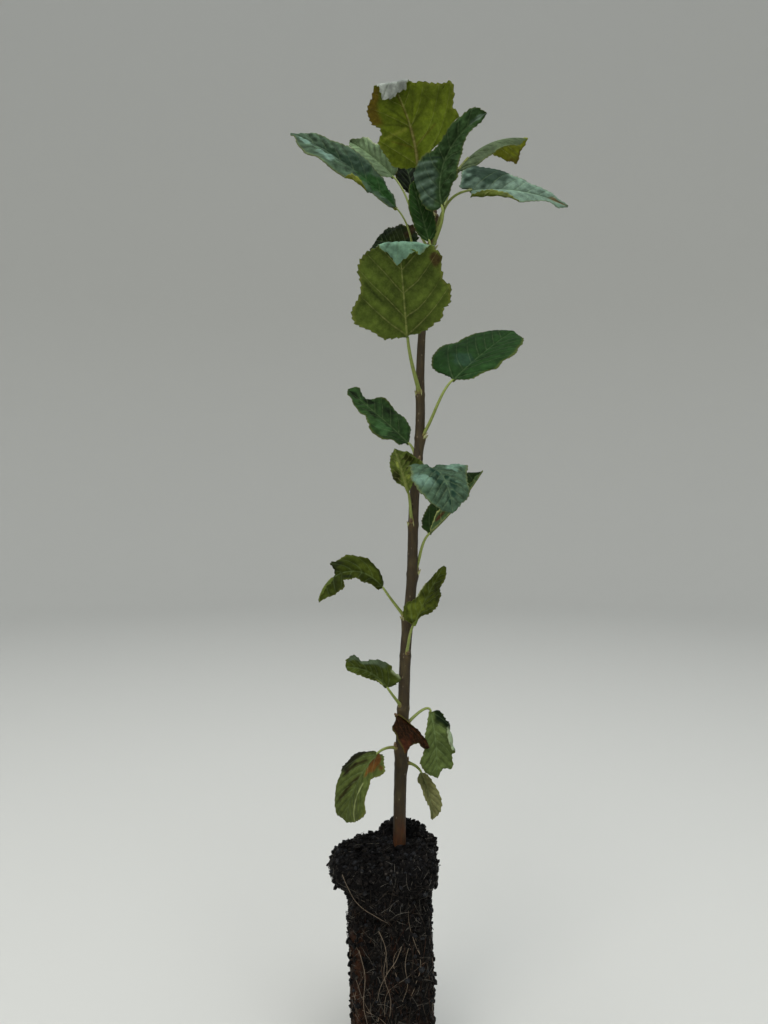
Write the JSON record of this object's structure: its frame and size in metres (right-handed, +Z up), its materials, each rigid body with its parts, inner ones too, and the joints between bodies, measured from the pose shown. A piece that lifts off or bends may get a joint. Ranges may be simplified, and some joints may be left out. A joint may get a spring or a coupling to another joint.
{
  "type": "sapling with root ball",
  "caption": "Young broadleaf sapling: one slender upright stem with stalked toothed leaves, standing on the flat foot of its plug-shaped root ball.",
  "frame": {"origin": "centre of the root ball's flat underside", "axes": "+Z up along the plant, +X to the right and +Y away from the viewer as the plant is usually seen"},
  "size_m": [0.1853, 0.1068, 0.6667],
  "materials": {
    "bark": "thin brown young bark with small lenticels, satin",
    "stalk": "yellow-green leaf stalk, smooth",
    "leaf": "dark green net-veined upper side and olive underside, semi-matt",
    "dead_leaf": "brown shrivelled leaf, dry and matt",
    "compost": "moist dark crumbly compost with fine fibrous roots, matt"
  },
  "bodies": {
    "root": {"root_ball": "compost", "trunk": "bark", "leaf_01_stalk": "stalk", "leaf_01_blade": "leaf", "leaf_02_stalk": "stalk", "leaf_02_blade": "leaf", "leaf_03_stalk": "stalk", "leaf_03_blade": "leaf", "leaf_04_stalk": "dead_leaf", "leaf_04_blade": "dead_leaf", "leaf_05_stalk": "stalk", "leaf_05_blade": "leaf", "leaf_06_stalk": "stalk", "leaf_06_blade": "leaf", "leaf_07_stalk": "stalk", "leaf_07_blade": "leaf", "leaf_08_stalk": "stalk", "leaf_08_blade": "leaf", "leaf_09_stalk": "stalk", "leaf_09_blade": "leaf", "leaf_10_stalk": "stalk", "leaf_10_blade": "leaf", "leaf_11_stalk": "stalk", "leaf_11_blade": "leaf", "leaf_12_stalk": "stalk", "leaf_12_blade": "leaf", "leaf_13_stalk": "stalk", "leaf_13_blade": "leaf", "leaf_14_stalk": "stalk", "leaf_14_blade": "leaf", "leaf_15_stalk": "stalk", "leaf_15_blade": "leaf", "leaf_16_stalk": "stalk", "leaf_16_blade": "leaf", "leaf_17_stalk": "stalk", "leaf_17_blade": "leaf", "leaf_18_stalk": "stalk", "leaf_18_blade": "leaf", "leaf_19_stalk": "stalk", "leaf_19_blade": "leaf", "leaf_20_stalk": "stalk", "leaf_20_blade": "leaf", "leaf_21_stalk": "stalk", "leaf_21_blade": "leaf", "leaf_22_stalk": "stalk", "leaf_22_blade": "leaf"}
  },
  "joints": []
}
